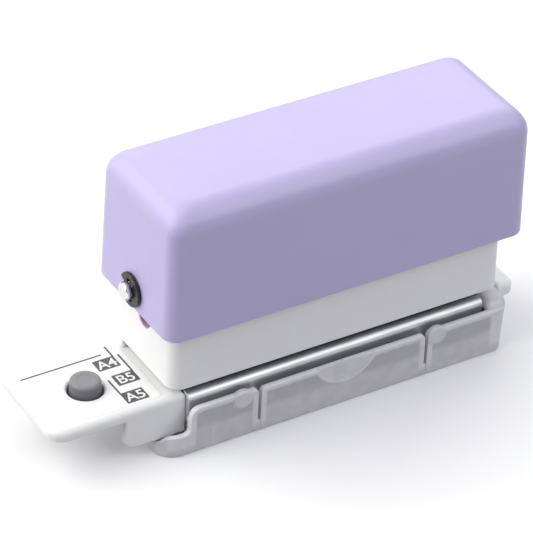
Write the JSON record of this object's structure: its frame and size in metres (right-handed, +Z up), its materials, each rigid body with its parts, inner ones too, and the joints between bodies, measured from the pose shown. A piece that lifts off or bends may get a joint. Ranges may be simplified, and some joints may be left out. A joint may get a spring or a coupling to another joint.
{
  "type": "loose-leaf hole punch",
  "caption": "Small desk punch for loose-leaf paper: press cover over a row of sprung punches, die strip, paper gauge with sprung locating pin, and clip-on chip tray.",
  "frame": {"origin": "on the flat underside of the chip tray, below the middle of the row of punches", "axes": "+X along the row of punches, away from the paper gauge; -Y the side the paper goes in; +Z up, against the press stroke"},
  "size_m": [0.0901, 0.0242, 0.0483],
  "materials": {
    "lavender_plastic": "satin gloss moulded ABS",
    "white_plastic": "satin moulded ABS",
    "frosted_plastic": "frosted translucent polypropylene",
    "grey_plastic": "matte moulded",
    "plated_steel": "plated strip",
    "bright_steel": "ground and turned",
    "black_steel": "blackened"
  },
  "bodies": {
    "frame": {"punch_housing": "white_plastic", "guide_plate": "plated_steel", "die_channel": "plated_steel", "gauge_base": "white_plastic", "pin_leaf_spring": "plated_steel", "clamp_screw_1": "black_steel", "clamp_screw_2": "black_steel", "clamp_screw_3": "black_steel", "clamp_screw_4": "black_steel", "return_spring_1": "plated_steel", "return_spring_2": "plated_steel", "return_spring_3": "plated_steel", "return_spring_4": "plated_steel", "return_spring_5": "plated_steel", "return_spring_6": "plated_steel"},
    "press": {"press_cover": "lavender_plastic", "drive_shaft": "bright_steel", "retaining_clip_left": "black_steel", "retaining_clip_right": "black_steel", "punch_1": "bright_steel", "punch_2": "bright_steel", "punch_3": "bright_steel", "punch_4": "bright_steel", "punch_5": "bright_steel", "punch_6": "bright_steel"},
    "pin": {"locating_pin": "grey_plastic"},
    "tray": {"chip_tray": "frosted_plastic"}
  },
  "joints": [
    {"name": "press_stroke", "type": "slide", "parent": "frame", "child": "press", "axis": [0, 0, -1], "range_m": [0, 0.0063], "stiffness_N_per_m": 2400, "springref_m": -0.0015, "deforming": ["return_spring_1", "return_spring_2", "return_spring_3", "return_spring_4", "return_spring_5", "return_spring_6"]},
    {"name": "pin_travel", "type": "slide", "parent": "frame", "child": "pin", "axis": [0, 0, -1], "range_m": [0, 0.002], "stiffness_N_per_m": 300, "springref_m": -0.0005, "deforming": ["pin_leaf_spring"]},
    {"name": "tray_release", "type": "slide", "parent": "tray", "child": "frame", "axis": [0, 0, 1], "range_m": [0, 0.012]}
  ]
}
